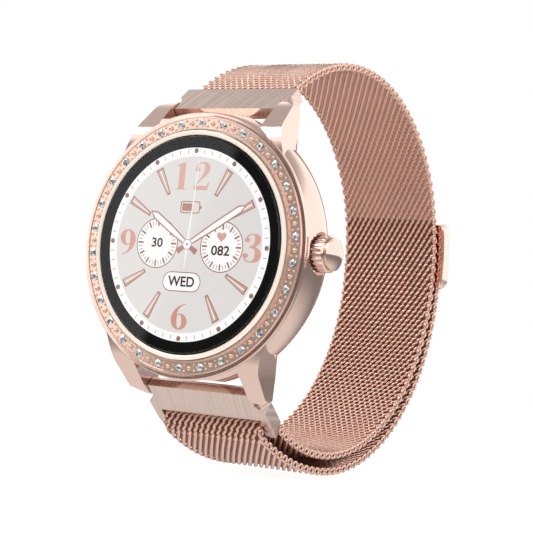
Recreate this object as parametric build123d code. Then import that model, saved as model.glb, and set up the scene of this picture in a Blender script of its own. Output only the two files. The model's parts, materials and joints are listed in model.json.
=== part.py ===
from build123d import *
from math import cos, radians, sin, sqrt, pi
import os

# Smartwatch with a round stone-set bezel, a push-and-turn crown and a woven mesh strap.
#
# Frame: origin on the middle of the flat sensor face on the case back. +X points to the crown
# (3 o'clock), +Z to 12 o'clock, and the dial faces -Y. The strap loops round the wrist behind
# the case, in +Y. Millimetres.

os.makedirs("parts", exist_ok=True)

# ---------------------------------------------------------------- driving dimensions
HEAD = 10.7                  # glass front to sensor face
GLASS_R = 15.5
GLASS_T = 0.7
PANEL_R = 15.0
TRIM_R = 16.45               # outside of the polished ring round the glass
BEZEL_R = 18.45
RIM_R = 19.05                # case rim round the bezel
FLANK_R = 19.6               # widest point of the case side
CAVITY_R = 15.6              # room for the electronics
BACK_R = 18.1                # case back
WINDOW_R = 9.5               # sensor window

LUG_GAP = 18.0
TILT = 41.0                  # slope of both strap connectors
CONNECTOR_T = 2.2
EDGE_Y, EDGE_Z = -4.6, 20.5  # front edge of a connector, next to the case
BAR_ALONG = 0.85             # spring bar axis, along the connector from that edge
BAR_R = 0.75
TIP_R = 0.42
TIP_ENGAGE = 0.8             # how far a bar tip reaches into its lug

STONES = 30
STONE_RING_R = 17.42
BED_DEPTH = 1.0              # floor of the stone channel, behind the glass front

CROWN_DEPTH = 4.7            # crown axis, behind the glass front
CROWN_R = 2.62
CROWN_SEAT_X = 18.3          # floor of the crown's notch in the case side
FLUTES = 24
KNOB_END_X = 21.05           # outer end of the fluted knob
GROOVE_END_X = 21.3          # and of the groove between it and the cap
STEM_R = 0.7
SWITCH_X = 12.6              # outer face of the switch that the crown presses
PLUNGER_R = 0.5
STEM_END_X = 13.15
PLUNGER_OUT = STEM_END_X - SWITCH_X - 0.05   # ends just short of the stem
PLUNGER_BORE = 0.65

CHARGE_X, CHARGE_Z = 1.5, -7.0

MESH_W = 17.2
MESH_T = 1.3
MESH_HALF = MESH_T / 2
LAYER_PITCH = 2.0            # middle of the inner layer to middle of the tail, at the back
FOLD_Y, FOLD_Z = 1.7, -25.2  # bar that the mesh folds round
FOLD_BAR_R = 0.85
FOLD_BAR_HALF = 9.3          # half its length
FOLD_R = FOLD_BAR_R + 0.05 + MESH_HALF
HINGE_GAP = 0.1              # round each bend line of the mesh
PEEL_GAP = 0.35              # the same where the clasp peels off, which bends much further
END_GAP = 0.4                # between the loop's end and the fold
TAIL_STOP = 3.6              # the tail's mesh ends this far before its path does, in the clasp


# ---------------------------------------------------------------- helpers
def y_at(depth):
    """Y of a plane that lies this far behind the glass front."""
    return depth - HEAD


def save(shape, name):
    shape.label = name
    export_step(shape, f"parts/{name}.step")


def group(solids):
    return Compound(children=list(solids))


def turned(points):
    """Solid of revolution about the watch axis from (radius, depth) points."""
    outline = Polyline(*[(r, y_at(d)) for r, d in points], close=True)
    return revolve(make_face(outline), Axis.Y)


def disc(radius, depth_1, depth_2, x=0.0, z=0.0):
    """Cylinder along the watch axis between two depths."""
    length = depth_2 - depth_1
    middle = y_at((depth_1 + depth_2) / 2)
    return Pos(x, middle, z) * Rot(90, 0, 0) * Cylinder(radius, length)


def ring(outer, inner, depth_1, depth_2):
    return turned([(inner, depth_1), (outer, depth_1), (outer, depth_2), (inner, depth_2)])


def block(x_1, x_2, depth_1, depth_2, z_1, z_2):
    size = (x_2 - x_1, depth_2 - depth_1, z_2 - z_1)
    middle = ((x_1 + x_2) / 2, y_at((depth_1 + depth_2) / 2), (z_1 + z_2) / 2)
    return Pos(*middle) * Box(*size)


def rod(radius, x_1, x_2, y=0.0, z=0.0):
    """Cylinder along X."""
    return Pos((x_1 + x_2) / 2, y, z) * Rot(0, 90, 0) * Cylinder(radius, x_2 - x_1)


def side_prism(face, width, x=0.0):
    """Face drawn in (Y, Z), extruded both ways along X."""
    return Pos(x, 0, 0) * extrude(Plane.YZ * face, amount=width / 2, both=True)


def crown_turned(points):
    """Solid of revolution about the crown's axis from (x, radius) points."""
    outline = make_face(Polyline(*points, close=True))
    return Pos(0, y_at(CROWN_DEPTH), 0) * revolve(outline, Axis.X)


def crown_rod(radius, x_1, x_2):
    return rod(radius, x_1, x_2, y_at(CROWN_DEPTH), 0)


# ---------------------------------------------------------------- connector frame
def connector_point(along, inward, sign=1):
    """(Y, Z) of a point on a connector: along its slope, and inward from its front face."""
    c, s = cos(radians(TILT)), sin(radians(TILT))
    return (EDGE_Y + along * c + inward * s, sign * (EDGE_Z + along * s - inward * c))


BAR_Y, BAR_Z = connector_point(BAR_ALONG, CONNECTOR_T / 2)


# ---------------------------------------------------------------- strap path
class ArcPath:
    """Line in the (Y, Z) plane made of tangent arcs, measured by its length from the start."""

    def __init__(self, start, heading, pieces):
        self.pieces = []
        y, z = start
        for radius, sweep, length in pieces:
            turn = radians(sweep)
            run = abs(turn) * radius if radius else length
            self.pieces.append((y, z, heading, radius, turn, run))
            y, z, heading = self.along(self.pieces[-1], run)
        self.length = sum(piece[5] for piece in self.pieces)

    @staticmethod
    def along(piece, run):
        y, z, heading, radius, turn, full = piece
        if not radius:
            return (y + run * cos(heading), z + run * sin(heading), heading)
        side = 1 if turn > 0 else -1
        end = heading + side * run / radius
        return (y + side * radius * (sin(end) - sin(heading)),
                z - side * radius * (cos(end) - cos(heading)), end)

    def state(self, s):
        """(Y, Z, heading) at a length along the path."""
        for piece in self.pieces:
            if s <= piece[5] or piece is self.pieces[-1]:
                return self.along(piece, s)
            s -= piece[5]

    def offset_point(self, s, out):
        """Point beside the path: positive is to the left of travel."""
        y, z, heading = self.state(s)
        return (y - out * sin(heading), z + out * cos(heading))

    def edges(self, s_1, s_2, out):
        """Arc edges of the line offset from the path, from s_1 to s_2."""
        stops = [s_1]
        total = 0.0
        for piece in self.pieces:
            total += piece[5]
            if s_1 + 1e-6 < total < s_2 - 1e-6:
                stops.append(total)
        stops.append(s_2)
        made = []
        for a, b in zip(stops, stops[1:]):
            nodes = [self.offset_point(s, out) for s in (a, (a + b) / 2, b)]
            straight = abs(self.state(a)[2] - self.state(b)[2]) < 1e-9
            made.append(Line(nodes[0], nodes[2]) if straight else ThreePointArc(*nodes))
        return made

    def strip(self, s_1, s_2):
        """Closed face of the mesh thickness along the path."""
        near = self.edges(s_1, s_2, MESH_HALF)
        far = self.edges(s_1, s_2, -MESH_HALF)
        caps = [Line(self.offset_point(s, MESH_HALF), self.offset_point(s, -MESH_HALF))
                for s in (s_1, s_2)]
        return make_face(near + far + caps)


LOOP_START = connector_point(5.4, CONNECTOR_T / 2)
LOOP = ArcPath(LOOP_START, radians(TILT), [
    (30.5, -TILT, 0),        # up from the top connector to the highest point
    (28.4, -90, 0),          # over the top to the back of the wrist
    (0, 0, 1.7),
    (29.3, -90, 0),          # under the wrist
    (29.6, -34.6, 0),        # up to the bottom connector's slot
])
TAIL_LEAVES = 27.8           # slope at which the tail leaves the fold
TAIL = ArcPath((FOLD_Y - FOLD_R * sin(radians(TAIL_LEAVES)),
                FOLD_Z - FOLD_R * cos(radians(TAIL_LEAVES))), radians(-TAIL_LEAVES), [
    (39.4, TAIL_LEAVES, 0),
    (29.3 + LAYER_PITCH, 90, 0),
    (0, 0, 4.0),
])
QUARTER_1 = LOOP.pieces[0][5]
QUARTER_2 = QUARTER_1 + LOOP.pieces[1][5]
QUARTER_3 = QUARTER_2 + LOOP.pieces[2][5]
QUARTER_4 = QUARTER_3 + LOOP.pieces[3][5]
LOOP_BENDS = [
    4.0,
    QUARTER_1 - 30.5 * radians(7),
    QUARTER_1 + 28.4 * radians(33),
    QUARTER_1 + 28.4 * radians(67),
    QUARTER_3 + 29.3 * radians(42),
    QUARTER_4 + 29.6 * radians(9),
]
TAIL_BENDS = [
    TAIL.pieces[0][5] - 39.4 * radians(7),
    TAIL.pieces[0][5] + (29.3 + LAYER_PITCH) * radians(48),
    TAIL.pieces[0][5] + (29.3 + LAYER_PITCH) * radians(78),
]


# ---------------------------------------------------------------- case
def lug():
    """Top right lug: its side, front and plan outlines crossed."""
    tip = connector_point(1.75, 0)
    heel = connector_point(1.95, 1.1)
    crest = Spline((-9.25, 12.0), (-9.1, 15.0), (-8.45, 17.0), (-6.8, 18.85), (-5.0, 20.65), tip)
    back = Spline(heel, (-1.95, 19.5), (-2.6, 17.4), (-3.2, 12.0))
    side = make_face([crest, Line(tip, heel), back, Line((-3.2, 12.0), (-9.25, 12.0))])
    inner = LUG_GAP / 2
    flank = Spline((11.85, 20.8), (12.1, 19.4), (12.35, 17.8), (12.8, 16.1), (13.4, 14.3), (14.2, 12.0))
    front = make_face([Line((inner, 12.0), (inner, 21.9)), Line((inner, 21.9), (11.85, 20.8)),
                       flank, Line((14.2, 12.0), (inner, 12.0))])
    corner = ThreePointArc((13.4, -6.2), (12.35, -3.6), (10.3, -1.7))
    plan = make_face([Line((inner, -10.7), (16.0, -10.7)), Line((16.0, -10.7), (13.4, -6.2)),
                      corner, Line((10.3, -1.7), (inner, -1.7)), Line((inner, -1.7), (inner, -10.7))])
    tower = extrude(Plane.XZ * front, amount=20, both=True)
    return side_prism(side, 12, 13.0) & tower & extrude(Plane.XY * plan, amount=30, both=True)


def mid_case():
    widest = ThreePointArc((19.2, y_at(2.0)), (FLANK_R, y_at(4.3)), (18.6, y_at(7.6)))
    steps = Polyline(*[(r, y_at(d)) for r, d in [
        (18.6, 7.6), (16.4, 7.6), (16.4, 7.1), (15.85, 7.1), (15.85, 7.6), (CAVITY_R, 7.6),
        (CAVITY_R, 2.4), (BEZEL_R + 0.05, 2.4), (BEZEL_R + 0.05, 1.3), (18.62, 1.2),
        (18.92, 1.2), (RIM_R, 1.32), (RIM_R, 1.75), (19.2, 2.0)]])
    body = revolve(make_face([widest, *steps.edges()]), Axis.Y)
    # strap recess between the lugs, at both ends
    for sign in (1, -1):
        low, high = sorted((sign * 18.8, sign * 24))
        body -= block(-LUG_GAP / 2, LUG_GAP / 2, 1.95, 9, low, high)
        body -= rod(1.68, -LUG_GAP / 2, LUG_GAP / 2, BAR_Y, sign * BAR_Z)
    one = lug() - disc(FLANK_R - 0.9, -1, 12)
    lugs = [one, mirror(one, Plane.YZ)]
    lugs += [mirror(each, Plane.XY) for each in lugs]
    body = body + lugs
    # bar tip holes
    reach = LUG_GAP / 2 + TIP_ENGAGE + 0.1
    for sign in (1, -1):
        hole = rod(TIP_R + 0.03, -reach, reach, BAR_Y, sign * BAR_Z)
        body -= hole
    # crown notch and the bore for its tube
    notch = crown_rod(3.0, CROWN_SEAT_X, 24) & block(0, 24, 1.95, 9, -4, 4)
    body -= notch
    body -= crown_rod(1.3, 14, 20)
    for x, z in screw_places():
        body -= disc(0.47, 5.2, 7.7, x, z)
    return body


def screw_places():
    spot = 17.2 / sqrt(2)
    return [(sx * spot, sz * spot) for sx in (1, -1) for sz in (1, -1)]


def bezel_ring():
    body = turned([
        (15.08, 1.2), (TRIM_R, 1.2), (TRIM_R, 0.5), (TRIM_R + 0.15, 0.52), (TRIM_R + 0.2, BED_DEPTH),
        (18.15, BED_DEPTH), (18.2, 0.82), (BEZEL_R - 0.08, 0.82), (BEZEL_R, 0.92),
        (BEZEL_R, 1.8), (17.9, 2.35), (15.08, 2.35)])
    for x, z in stone_places():
        body -= stone_seat(x, z)
    return body


def stone_places():
    steps = [2 * pi * i / STONES for i in range(STONES)]
    return [(STONE_RING_R * sin(a), STONE_RING_R * cos(a)) for a in steps]


def stone_seat(x, z):
    return Pos(x, y_at(BED_DEPTH + 0.15), z) * Rot(90, 0, 0) * Cone(0.12, 0.44, 0.32)


def stone(x, z):
    """Round-cut stone: flat table, crown facets and a pointed back in its seat."""
    crown_part = Pos(x, y_at(BED_DEPTH - 0.12), z) * Rot(90, 0, 0) * Cone(0.56, 0.34, 0.24)
    pavilion = Pos(x, y_at(BED_DEPTH + 0.1), z) * Rot(90, 0, 0) * Cone(0.12, 0.38, 0.2)
    return crown_part + pavilion


def dome(x, z, radius):
    """Half-round bead standing on the floor of the channel."""
    ball = Pos(x, y_at(BED_DEPTH), z) * Sphere(radius)
    return ball & disc(radius * 1.2, BED_DEPTH - radius * 1.2, BED_DEPTH, x, z)


def bead_places(fractions, radius):
    """Places between the stones, as fractions of the step from one stone to the next."""
    step = 2 * pi / STONES
    angles = [step * (i + f) for i in range(STONES) for f in fractions]
    return [(radius * sin(a), radius * cos(a)) for a in angles]


def large_beads():
    return group([dome(x, z, 0.4) for x, z in bead_places([0.5], STONE_RING_R)])


def small_beads():
    spots = bead_places([0.27, 0.73], STONE_RING_R + 0.42)
    spots += bead_places([0.27, 0.73], STONE_RING_R - 0.42)
    return group([dome(x, z, 0.26) for x, z in spots])


def trim_ring():
    return turned([(GLASS_R + 0.03, 0.1), (15.7, 0.08), (TRIM_R - 0.02, 0.46),
                   (TRIM_R - 0.02, 1.2), (GLASS_R + 0.03, 1.2)])


def cover_glass():
    return turned([(0, 0), (GLASS_R - 0.2, 0), (GLASS_R, 0.2), (GLASS_R, GLASS_T), (0, GLASS_T)])


def case_back():
    body = turned([
        (8.9, 9.2), (8.9, 9.7), (WINDOW_R + 0.05, 9.7), (WINDOW_R + 0.05, 10.6), (11.5, 10.45),
        (14.5, 9.85), (17.6, 9.0), (BACK_R, 8.6), (BACK_R, 7.6), (15.1, 7.6), (14.4, 8.5)])
    for x, z in screw_places():
        body -= disc(0.52, 7.5, 10, x, z)
        body -= disc(0.95, 8.3, 10, x, z)
    return body


def screw(x, z):
    head = disc(0.88, 8.3, 8.85, x, z) - block(x - 1, x + 1, 8.6, 9, z - 0.12, z + 0.12)
    return head + disc(0.45, 5.3, 8.3, x, z)


# ---------------------------------------------------------------- electronics
def movement_frame():
    body = disc(15.4, 2.6, 3.2) + ring(15.4, 14.6, 3.2, 7.0)
    body -= block(1.5, 8.5, 2, 4, 11.5, 12.7)
    return body - block(10, 16, 3.2, 7.1, -2.0, 2.0)


def main_board():
    plate = disc(14.4, 5.9, 6.6)
    return plate & block(0.8, 15, 5, 7, -15, 15)


def board_shield():
    return block(1.4, 8.8, 4.5, 5.9, -4.5, 8.0) - block(1.6, 8.6, 4.7, 6, -4.3, 7.8)


def battery():
    cell = block(-11.4, 0.2, 3.3, 6.4, -8.6, 8.6)
    return fillet(cell.edges().filter_by(Axis.Y), 1.0)


def sensor_holder():
    body = disc(8.8, 7.95, 9.65) - block(-3.2, 3.2, 7, 10, -2.1, 2.1)
    for x in (-CHARGE_X, CHARGE_X):
        body -= disc(0.85, 7, 10, x, CHARGE_Z)
    for x, z in magnet_places():
        body -= disc(1.42, 8.6, 10, x, z)
    return body


def magnet_places():
    return [(-4.6, -5.4), (4.6, -5.4)]


def sensor_window():
    body = turned([(0, 9.7), (WINDOW_R, 9.7), (WINDOW_R, 10.55), (WINDOW_R - 0.15, HEAD), (0, HEAD)])
    for x in (-CHARGE_X, CHARGE_X):
        body -= disc(0.82, 9, 11, x, CHARGE_Z)
    return body


# ---------------------------------------------------------------- crown
def crown_stem():
    return crown_turned([
        (STEM_END_X, 0), (STEM_END_X, STEM_R), (14.3, STEM_R), (14.3, 0.4), (14.7, 0.4), (14.7, STEM_R),
        (16.1, STEM_R), (16.1, 0.45), (16.5, 0.45), (16.5, STEM_R), (17.2, STEM_R), (17.2, 0.45),
        (17.6, 0.45), (17.6, STEM_R), (20.0, STEM_R), (20.0, 0)])


def crown_switch():
    """Press switch under the stem, with a bore that its plunger sinks into."""
    body = block(10.1, SWITCH_X, 3.6, 5.9, -1.6, 1.6)
    return body - crown_rod(PLUNGER_R + 0.05, SWITCH_X - PLUNGER_BORE, SWITCH_X + 1)


def crown_tube():
    return crown_turned([
        (15.2, STEM_R + 0.05), (15.2, 1.29), (CROWN_SEAT_X, 1.29), (CROWN_SEAT_X, STEM_R + 0.05)])


def stem_seals():
    rings = [crown_turned([(x, 0.46), (x, 0.73), (x + 0.36, 0.73), (x + 0.36, 0.46)])
             for x in (16.12, 17.22)]
    return group(rings)


def crown_knob():
    body = crown_turned([(18.75, 0.71), (18.75, CROWN_R - 0.3), (19.05, CROWN_R),
                         (20.75, CROWN_R), (KNOB_END_X, CROWN_R - 0.3), (KNOB_END_X, 1.25),
                         (20.02, 1.25), (20.02, 0.71)])
    cutters = []
    for i in range(FLUTES):
        a = 2 * pi * i / FLUTES
        y = y_at(CROWN_DEPTH) + (CROWN_R + 0.05) * cos(a)
        cutters.append(rod(0.25, 18.9, 20.85, y, (CROWN_R + 0.05) * sin(a)))
    return body - cutters


def crown_cap():
    """Domed cap with a plug that fits the knob."""
    rim_x, apex_x, rim_r = 21.5, 22.3, 2.3
    rise = apex_x - rim_x
    ball_r = (rim_r ** 2 + rise ** 2) / (2 * rise)
    skirt = crown_rod(rim_r, GROOVE_END_X, apex_x)
    ball = Pos(apex_x - ball_r, y_at(CROWN_DEPTH), 0) * Sphere(ball_r)
    return (skirt & ball) + crown_rod(1.2, 20.05, GROOVE_END_X)


# ---------------------------------------------------------------- spring bars
def bar_barrel(sign):
    y, z = BAR_Y, sign * BAR_Z
    return rod(BAR_R, -8.7, 8.7, y, z) - rod(0.5, -8.3, 8.3, y, z) - rod(TIP_R + 0.02, -9, 9, y, z)


def bar_tip(side, sign):
    y, z = BAR_Y, sign * BAR_Z
    end = LUG_GAP / 2 + TIP_ENGAGE
    pin = rod(TIP_R, 7.4, end, y, z) + rod(0.48, 6.9, 7.4, y, z)
    return pin if side > 0 else mirror(pin, Plane.YZ)


# ---------------------------------------------------------------- strap connectors
def connector_outline(length, sign):
    """Side outline of the plate, with a rounded inner corner by the spring bar."""
    points = [(-0.15, 0), (length, 0), (length, CONNECTOR_T), (0.75, CONNECTOR_T), (0.1, 1.9),
              (-0.15, 1.3)]
    return make_face(Polyline(*[connector_point(a, n, sign) for a, n in points], close=True))


def front_outline(sections, sign):
    """Solid that trims a connector to its width, from (along, half width) pairs."""
    right = [(w, a) for a, w in sections]
    left = [(-w, a) for a, w in reversed(sections)]
    face = make_face(Polyline(*right, *left, close=True))
    y, z = connector_point(0, 0, sign)
    c, s = cos(radians(TILT)), sin(radians(TILT))
    plane = Plane(origin=(0, y, z), x_dir=(1, 0, 0), z_dir=(0, -s, sign * c))
    if plane.y_dir.Y < 0:
        face = mirror(face, Plane.XZ)
    return extrude(plane * face, amount=8, both=True)


def top_connector():
    length = 5.4
    plate = side_prism(connector_outline(length, 1), 24)
    plate &= front_outline([(-1, 8.9), (2.1, 8.9), (3.1, 9.7), (length + 1, 9.7)], 1)
    plate -= rod(BAR_R + 0.05, -12, 12, BAR_Y, BAR_Z)
    pocket = [(length - 2.0, 0.4), (length + 1, 0.4), (length + 1, 1.8), (length - 2.0, 1.8)]
    corners = [connector_point(a, n, 1) for a, n in pocket]
    return plate - side_prism(make_face(Polyline(*corners, close=True)), MESH_W + 0.1)


def bottom_connector():
    plate = side_prism(connector_outline(5.06, -1), 24)
    arm_points = [(3.2, 0), (7.6, 0), (8.75, 0.1), (9.05, 0.6), (8.75, 1.4), (7.3, 2.15),
                  (5.0, CONNECTOR_T), (3.2, CONNECTOR_T)]
    arm = make_face(Polyline(*[connector_point(a, n, -1) for a, n in arm_points], close=True))
    inner, outer = 8.8, 10.4
    arms = [side_prism(arm, outer - inner, s * (outer + inner) / 2) for s in (1, -1)]
    body = plate + arms
    body &= front_outline([(-1, 8.9), (2.0, 8.9), (3.4, 10.2), (7.4, 10.2), (9.2, 9.5),
                           (10.84, 9.5)], -1)
    body -= rod(BAR_R + 0.05, -12, 12, BAR_Y, -BAR_Z)
    return body - fold_bar()


def fold_bar():
    return rod(FOLD_BAR_R, -FOLD_BAR_HALF, FOLD_BAR_HALF, FOLD_Y, FOLD_Z)


# ---------------------------------------------------------------- mesh
def mesh_piece(path, s_1, s_2, end_gap=None):
    """Strip of mesh, rounded about the bend it starts at and hollowed for the next one."""
    y, z, _ = path.state(s_1)
    face = path.strip(s_1, s_2) + Pos(y, z) * Circle(MESH_HALF)
    if end_gap:
        y, z, _ = path.state(s_2)
        face -= Pos(y, z) * Circle(MESH_HALF + end_gap)
    return side_prism(face, MESH_W)


def mesh_stub():
    """Straight end of the mesh in the top connector's pocket, up to the first bend."""
    pocket = [(3.5, 0.45), (5.4, 0.45), (5.4, 1.75), (3.5, 1.75)]
    straight = make_face(Polyline(*[connector_point(a, n, 1) for a, n in pocket], close=True))
    y, z, _ = LOOP.state(LOOP_BENDS[0])
    face = straight + LOOP.strip(0, LOOP_BENDS[0]) - Pos(y, z) * Circle(MESH_HALF + HINGE_GAP)
    return side_prism(face, MESH_W)


def mesh_fold():
    """Turn round the fold bar, running on as the first stretch of the tail."""
    first = 90 - 34.6 + 4.0
    last = 270 - TAIL_LEAVES
    arc = CenterArc((FOLD_Y, FOLD_Z), FOLD_R + MESH_HALF, first, last - first)
    small = CenterArc((FOLD_Y, FOLD_Z), FOLD_R - MESH_HALF, first, last - first)
    caps = [Line(arc @ 0, small @ 0), Line(arc @ 1, small @ 1)]
    y, z, _ = TAIL.state(TAIL_BENDS[0])
    face = make_face([arc, small] + caps) + TAIL.strip(0, TAIL_BENDS[0])
    face -= Pos(y, z) * Circle(MESH_HALF + HINGE_GAP)
    return side_prism(face, MESH_W)


# ---------------------------------------------------------------- clasp
CLASP_W = 19.0
CLASP_LOW, CLASP_HIGH = -5.0, 15.5    # degrees up from the back of the loop
BACK_CENTRE = (LOOP.state(QUARTER_1)[0], LOOP.state(QUARTER_2)[1])
CLASP_IN = 28.4 + MESH_HALF + 0.35
CLASP_OUT = CLASP_IN + 2.3
LINER_OUT = CLASP_IN + 0.35


def clasp_band(r_1, r_2, low, high, width):
    arc_out = CenterArc(BACK_CENTRE, r_2, low, high - low)
    arc_in = CenterArc(BACK_CENTRE, r_1, low, high - low)
    caps = [Line(arc_out @ 0, arc_in @ 0), Line(arc_out @ 1, arc_in @ 1)]
    return side_prism(make_face([arc_out, arc_in] + caps), width)


def clasp_plate():
    body = clasp_band(LINER_OUT, CLASP_OUT, CLASP_LOW, CLASP_HIGH, CLASP_W)
    thickness = CLASP_OUT - LINER_OUT
    short = body.edges().filter_by(lambda e: abs(e.length - thickness) < 0.1)
    corners = short.filter_by(lambda e: abs(e.center().X) > CLASP_W / 2 - 0.1)
    body = fillet(corners, 1.6)
    body -= clasp_band(LINER_OUT - 0.1, LINER_OUT + 1.45, CLASP_LOW - 3, CLASP_LOW + 4.4, MESH_W + 0.1)
    return body - magnet_bar(0.05)


def magnet_bar(extra=0.0):
    return clasp_band(LINER_OUT, LINER_OUT + 0.9 + extra, 1.0 - extra * 2, 13.0 + extra * 2,
                      14 + 2 * extra)


# ---------------------------------------------------------------- write the parts
def build():
    save(mid_case(), "mid_case")
    save(bezel_ring(), "bezel_ring")
    save(group([stone(x, z) for x, z in stone_places()]), "bezel_stones")
    save(large_beads(), "bezel_beads_large")
    save(small_beads(), "bezel_beads_small")
    save(trim_ring(), "glass_trim_ring")
    save(cover_glass(), "cover_glass")
    save(ring(GLASS_R - 0.03, PANEL_R + 0.1, GLASS_T, 1.2), "glass_gasket")
    save(disc(PANEL_R, GLASS_T, 1.9), "display_panel")
    save(block(2, 8, 1.9, 5.9, 12.0, 12.15), "display_flex")
    save(movement_frame(), "movement_frame")
    save(battery(), "battery")
    save(main_board(), "main_board")
    save(board_shield(), "board_shield")
    save(block(2.2, 7.6, 5.0, 5.9, -2.0, 5.0), "main_chip")
    save(disc(4.0, 3.2, 5.8, 5.5, -9.0), "vibration_motor")
    save(crown_switch(), "crown_switch")
    save(crown_rod(PLUNGER_R, SWITCH_X, SWITCH_X + PLUNGER_OUT), "crown_switch_plunger")
    save(ring(16.35, 15.9, 7.12, 7.6), "back_gasket")
    save(case_back(), "case_back")
    save(group([screw(x, z) for x, z in screw_places()]), "back_screws")
    save(disc(8.8, 7.25, 7.95), "sensor_board")
    save(block(-3.1, 3.1, 7.95, 9.3, -2.0, 2.0), "optical_sensor")
    save(sensor_holder(), "sensor_holder")
    save(sensor_window(), "sensor_window")
    pins = [disc(0.8, 7.95, HEAD, x, CHARGE_Z) for x in (-CHARGE_X, CHARGE_X)]
    save(group(pins), "charging_pins")
    save(group([disc(1.4, 8.6, 9.6, x, z) for x, z in magnet_places()]), "charging_magnets")

    save(crown_tube(), "crown_tube")
    save(crown_stem(), "crown_stem")
    save(stem_seals(), "stem_seals")
    clip = crown_turned([(14.34, 0.45), (14.34, 1.15), (14.66, 1.15), (14.66, 0.45)])
    save(clip, "crown_stem_clip")
    save(crown_turned([(13.25, 0.7), (13.25, 1.15), (14.1, 1.15), (14.1, 0.7)]), "encoder_magnet")
    save(crown_knob(), "crown_knob")
    save(crown_turned([(KNOB_END_X, 1.3), (KNOB_END_X, 2.05), (GROOVE_END_X, 2.05),
                       (GROOVE_END_X, 1.3)]), "crown_groove_ring")
    save(crown_cap(), "crown_cap")

    for sign, place in ((1, "top"), (-1, "bottom")):
        save(bar_barrel(sign), f"{place}_bar_barrel")
        save(bar_tip(1, sign), f"{place}_bar_tip_right")
        save(bar_tip(-1, sign), f"{place}_bar_tip_left")
    save(top_connector(), "top_connector")
    save(bottom_connector(), "bottom_connector")
    save(fold_bar(), "fold_bar")

    save(mesh_stub(), "mesh_loop_1")
    stops = LOOP_BENDS + [LOOP.length - END_GAP]
    gaps = [HINGE_GAP] * 5 + [None]
    for i, gap in enumerate(gaps):
        save(mesh_piece(LOOP, stops[i], stops[i + 1], gap), f"mesh_loop_{i + 2}")
    save(mesh_fold(), "mesh_tail_1")
    stops = TAIL_BENDS + [TAIL.length - TAIL_STOP]
    gaps = [HINGE_GAP, PEEL_GAP, None]
    for i, gap in enumerate(gaps):
        save(mesh_piece(TAIL, stops[i], stops[i + 1], gap), f"mesh_tail_{i + 2}")
    save(clasp_plate(), "clasp_plate")
    liner = clasp_band(CLASP_IN, LINER_OUT, CLASP_LOW, CLASP_HIGH, CLASP_W - 0.6)
    save(liner, "clasp_liner")
    save(magnet_bar(), "clasp_magnet")


build()
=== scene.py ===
import json
from math import cos, hypot, pi, radians, sin

import bmesh
import bpy
import numpy as np
from mathutils import Matrix, Vector


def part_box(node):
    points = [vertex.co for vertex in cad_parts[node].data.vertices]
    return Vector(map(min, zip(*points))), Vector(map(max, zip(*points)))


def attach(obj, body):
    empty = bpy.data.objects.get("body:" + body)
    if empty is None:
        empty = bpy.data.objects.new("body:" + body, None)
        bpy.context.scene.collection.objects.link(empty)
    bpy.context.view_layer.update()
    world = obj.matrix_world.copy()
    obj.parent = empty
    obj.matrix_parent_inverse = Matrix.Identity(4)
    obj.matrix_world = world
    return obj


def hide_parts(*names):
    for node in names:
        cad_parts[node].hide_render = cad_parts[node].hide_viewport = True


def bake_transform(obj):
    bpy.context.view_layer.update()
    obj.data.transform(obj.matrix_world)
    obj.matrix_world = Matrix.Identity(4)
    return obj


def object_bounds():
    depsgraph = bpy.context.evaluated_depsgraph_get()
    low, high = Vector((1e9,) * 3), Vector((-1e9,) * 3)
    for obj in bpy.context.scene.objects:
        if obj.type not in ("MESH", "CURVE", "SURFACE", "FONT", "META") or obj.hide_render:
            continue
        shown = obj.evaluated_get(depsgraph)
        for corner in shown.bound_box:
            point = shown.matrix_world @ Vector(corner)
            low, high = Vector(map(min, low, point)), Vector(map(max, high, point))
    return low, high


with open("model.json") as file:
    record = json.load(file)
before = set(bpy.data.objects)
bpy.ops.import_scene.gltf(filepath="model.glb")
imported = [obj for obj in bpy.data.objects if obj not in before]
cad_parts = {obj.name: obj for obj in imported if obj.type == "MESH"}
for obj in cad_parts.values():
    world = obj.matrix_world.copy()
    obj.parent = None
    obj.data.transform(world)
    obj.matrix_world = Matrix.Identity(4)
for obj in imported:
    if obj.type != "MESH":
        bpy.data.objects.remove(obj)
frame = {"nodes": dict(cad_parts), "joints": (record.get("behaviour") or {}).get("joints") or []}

CAD_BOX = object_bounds()
MM = 0.001

# ------------------------------------------------------------------ places read from the frame
JOINTS = {j["name"]: j for j in frame["joints"]}
GLASS_FRONT_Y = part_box("cover_glass")[0].y
BED_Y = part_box("bezel_beads_large")[1].y
MESH_HALF_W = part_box("mesh_loop_4")[1].x
CLASP_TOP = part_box("clasp_plate")[1].z


def srgb(text):
    """Linear colour from a six-digit web colour."""
    values = [int(text[i:i + 2], 16) / 255 for i in (0, 2, 4)]
    return tuple(v / 12.92 if v <= 0.04045 else ((v + 0.055) / 1.055) ** 2.4 for v in values)


# ------------------------------------------------------------------ materials, in linear colour
def new_material(name):
    material = bpy.data.materials.new(name)
    material.use_nodes = True
    nodes, links = material.node_tree.nodes, material.node_tree.links
    return material, nodes, links, nodes["Principled BSDF"]


def add_node(nodes, kind, **values):
    node = nodes.new(kind)
    for key, value in values.items():
        setattr(node, key, value)
    return node


def object_noise(nodes, links, scale, stretch=(1, 1, 1), detail=3.0):
    """Noise in the piece's own coordinates, which are the row frame's metres."""
    place = add_node(nodes, "ShaderNodeTexCoord")
    mapping = add_node(nodes, "ShaderNodeMapping")
    mapping.inputs["Scale"].default_value = stretch
    noise = add_node(nodes, "ShaderNodeTexNoise")
    noise.inputs["Scale"].default_value = scale
    noise.inputs["Detail"].default_value = detail
    links.new(place.outputs["Object"], mapping.inputs["Vector"])
    links.new(mapping.outputs["Vector"], noise.inputs["Vector"])
    return noise


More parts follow.
